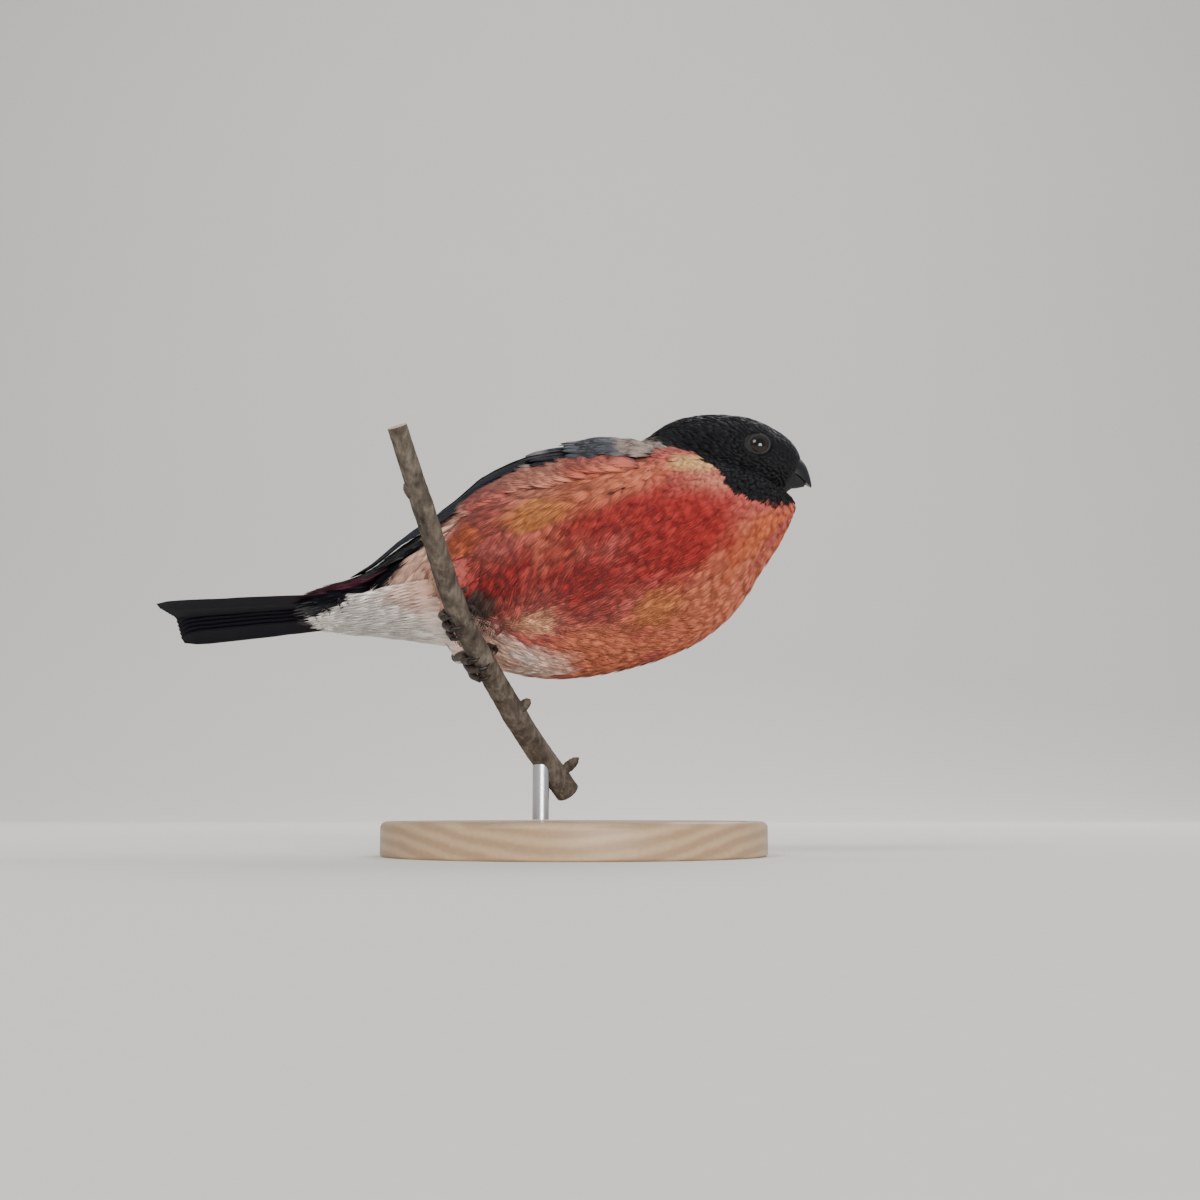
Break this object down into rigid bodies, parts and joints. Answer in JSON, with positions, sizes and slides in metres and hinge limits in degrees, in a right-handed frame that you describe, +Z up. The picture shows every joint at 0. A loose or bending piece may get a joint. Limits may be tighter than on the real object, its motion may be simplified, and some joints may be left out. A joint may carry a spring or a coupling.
{
  "type": "bullfinch model on a display stand",
  "caption": "Life-size male bullfinch perched on a steep cut twig, held by a plain round stand.",
  "frame": {"origin": "centre of the stand's flat underside", "axes": "+X the way the bird faces, +Z up, the bird's right side towards -Y"},
  "size_m": [0.1602, 0.09, 0.1068],
  "materials": {
    "cap_feathers": "glossy blue-black feathers",
    "breast_feathers": "soft rose-red body feathers, coral towards the flanks, ash grey on the back",
    "pale_feathers": "soft white and blush feathers",
    "flight_feathers": "black vanes with a blue to purple gloss and a pale wing bar",
    "bill": "black horn, satin gloss",
    "eye": "very dark brown, wet gloss",
    "leg_scales": "dark brown scales, satin",
    "bark": "grey-brown bark with olive lichen",
    "base_wood": "turned pale wood, oiled",
    "rod_metal": "satin steel"
  },
  "bodies": {
    "root": {"head": "cap_feathers", "neck": "breast_feathers", "torso": "breast_feathers", "rump": "pale_feathers", "tail": "flight_feathers", "wing_left": "flight_feathers", "wing_right": "flight_feathers", "bill_upper": "bill", "bill_lower": "bill", "eye_left": "eye", "eye_right": "eye", "thigh_left": "pale_feathers", "thigh_right": "pale_feathers", "leg_left": "leg_scales", "leg_right": "leg_scales", "perch_twig": "bark", "stand_base": "base_wood", "stand_rod": "rod_metal"}
  },
  "joints": []
}
